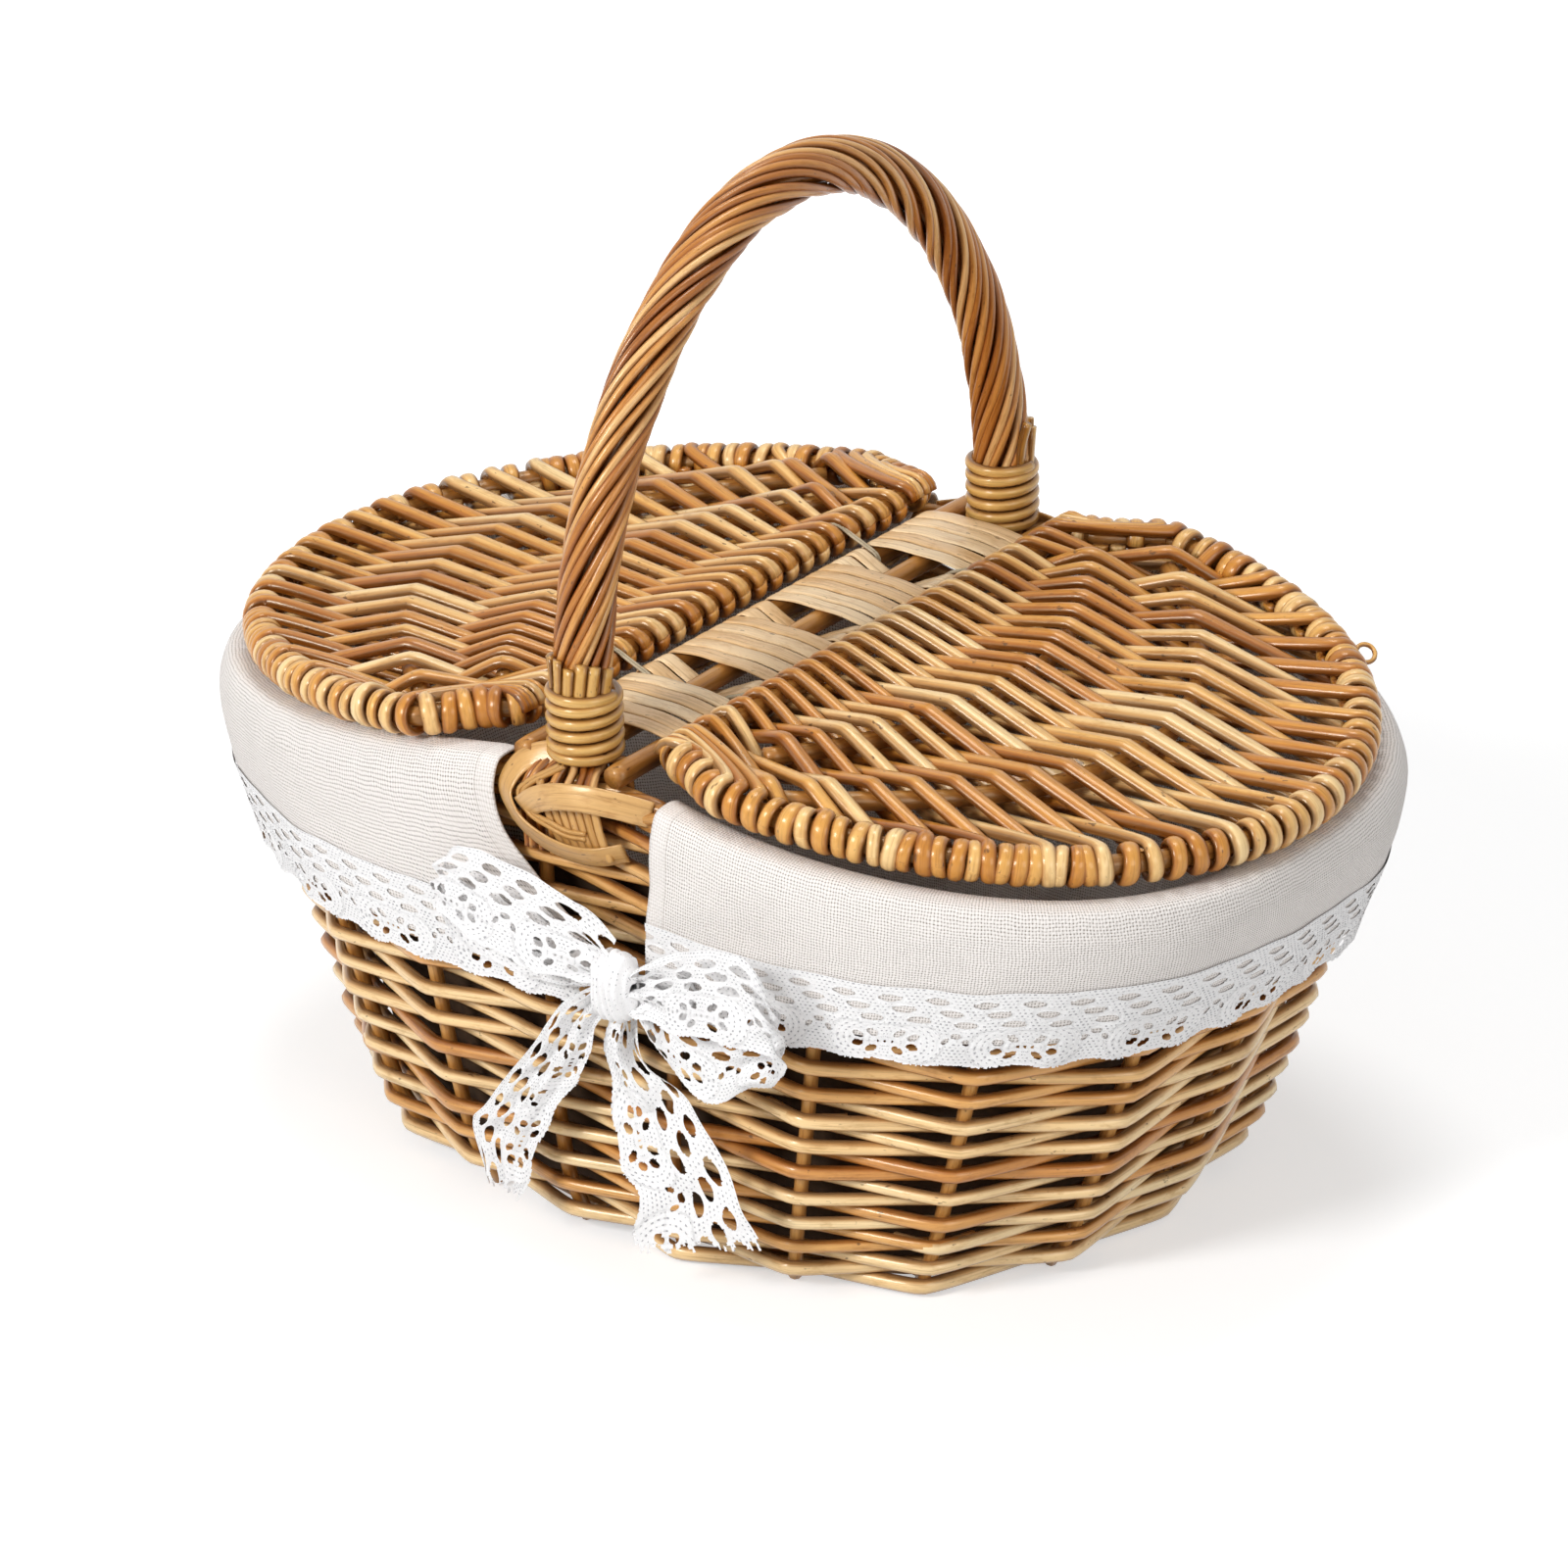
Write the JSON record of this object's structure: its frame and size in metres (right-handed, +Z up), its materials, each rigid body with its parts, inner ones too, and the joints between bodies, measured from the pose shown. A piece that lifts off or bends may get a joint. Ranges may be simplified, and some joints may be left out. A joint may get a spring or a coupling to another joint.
{
  "type": "lidded woven basket",
  "caption": "Oval willow basket with a twisted arch handle, a pair of hinged woven lids, a linen liner with lace and ribbon bows.",
  "frame": {"origin": "middle of the underside of the base, at the middle of the box round the whole part", "axes": "+X along the basket to the right lid, +Y to the rear, +Z up; the front with the shown bow faces -Y"},
  "size_m": [0.4216, 0.3034, 0.3478],
  "materials": {
    "willow": "glossy varnished honey-coloured willow",
    "willow_dark": "varnished orange-brown willow",
    "skein": "pale split willow skein, smooth and slightly glossy",
    "cord": "white cord",
    "linen": "off-white linen in plain weave",
    "lace": "white cotton lace"
  },
  "bodies": {
    "basket": {"base_mat": "willow", "bridge_centre_rod": "willow", "bridge_skein_1": "skein", "bridge_skein_2": "skein", "bridge_skein_3": "skein", "bridge_skein_4": "skein", "bridge_skein_5": "skein", "bridge_skein_6": "skein", "bridge_skein_7": "skein", "front_bow": "lace", "front_foot_wrap": "skein", "front_lashing": "skein", "handle_core": "willow_dark", "handle_rod_1": "willow_dark", "handle_rod_2": "willow_dark", "handle_rod_3": "willow_dark", "handle_rod_4": "willow_dark", "handle_rod_5": "willow_dark", "handle_rod_6": "willow_dark", "handle_rod_7": "willow_dark", "handle_rod_8": "willow_dark", "left_bridge_rod": "willow", "left_flap": "linen", "left_front_hinge_loop": "cord", "left_lace": "lace", "left_rear_hinge_loop": "cord", "liner_bag": "linen", "rear_bow": "lace", "rear_foot_wrap": "skein", "rear_lashing": "skein", "right_bridge_rod": "willow", "right_flap": "linen", "right_front_hinge_loop": "cord", "right_lace": "lace", "right_rear_hinge_loop": "cord", "stakes_and_border": "willow_dark", "wall_weave": "willow"},
    "left_lid": {"left_lid_frame": "willow_dark", "left_lid_inner_rib": "willow", "left_lid_outer_rib": "willow", "left_lid_weave": "willow_dark"},
    "right_lid": {"right_lid_frame": "willow_dark", "right_lid_inner_rib": "willow", "right_lid_outer_rib": "willow", "right_lid_weave": "willow_dark"}
  },
  "joints": [
    {"name": "right_lid_hinge", "type": "hinge", "parent": "basket", "child": "right_lid", "pos_m": [0.0323, 0, 0.18237], "axis": [0, -1, 0], "range_deg": [0, 100]},
    {"name": "left_lid_hinge", "type": "hinge", "parent": "basket", "child": "left_lid", "pos_m": [-0.0323, 0, 0.18237], "axis": [0, 1, 0], "range_deg": [0, 100]}
  ]
}
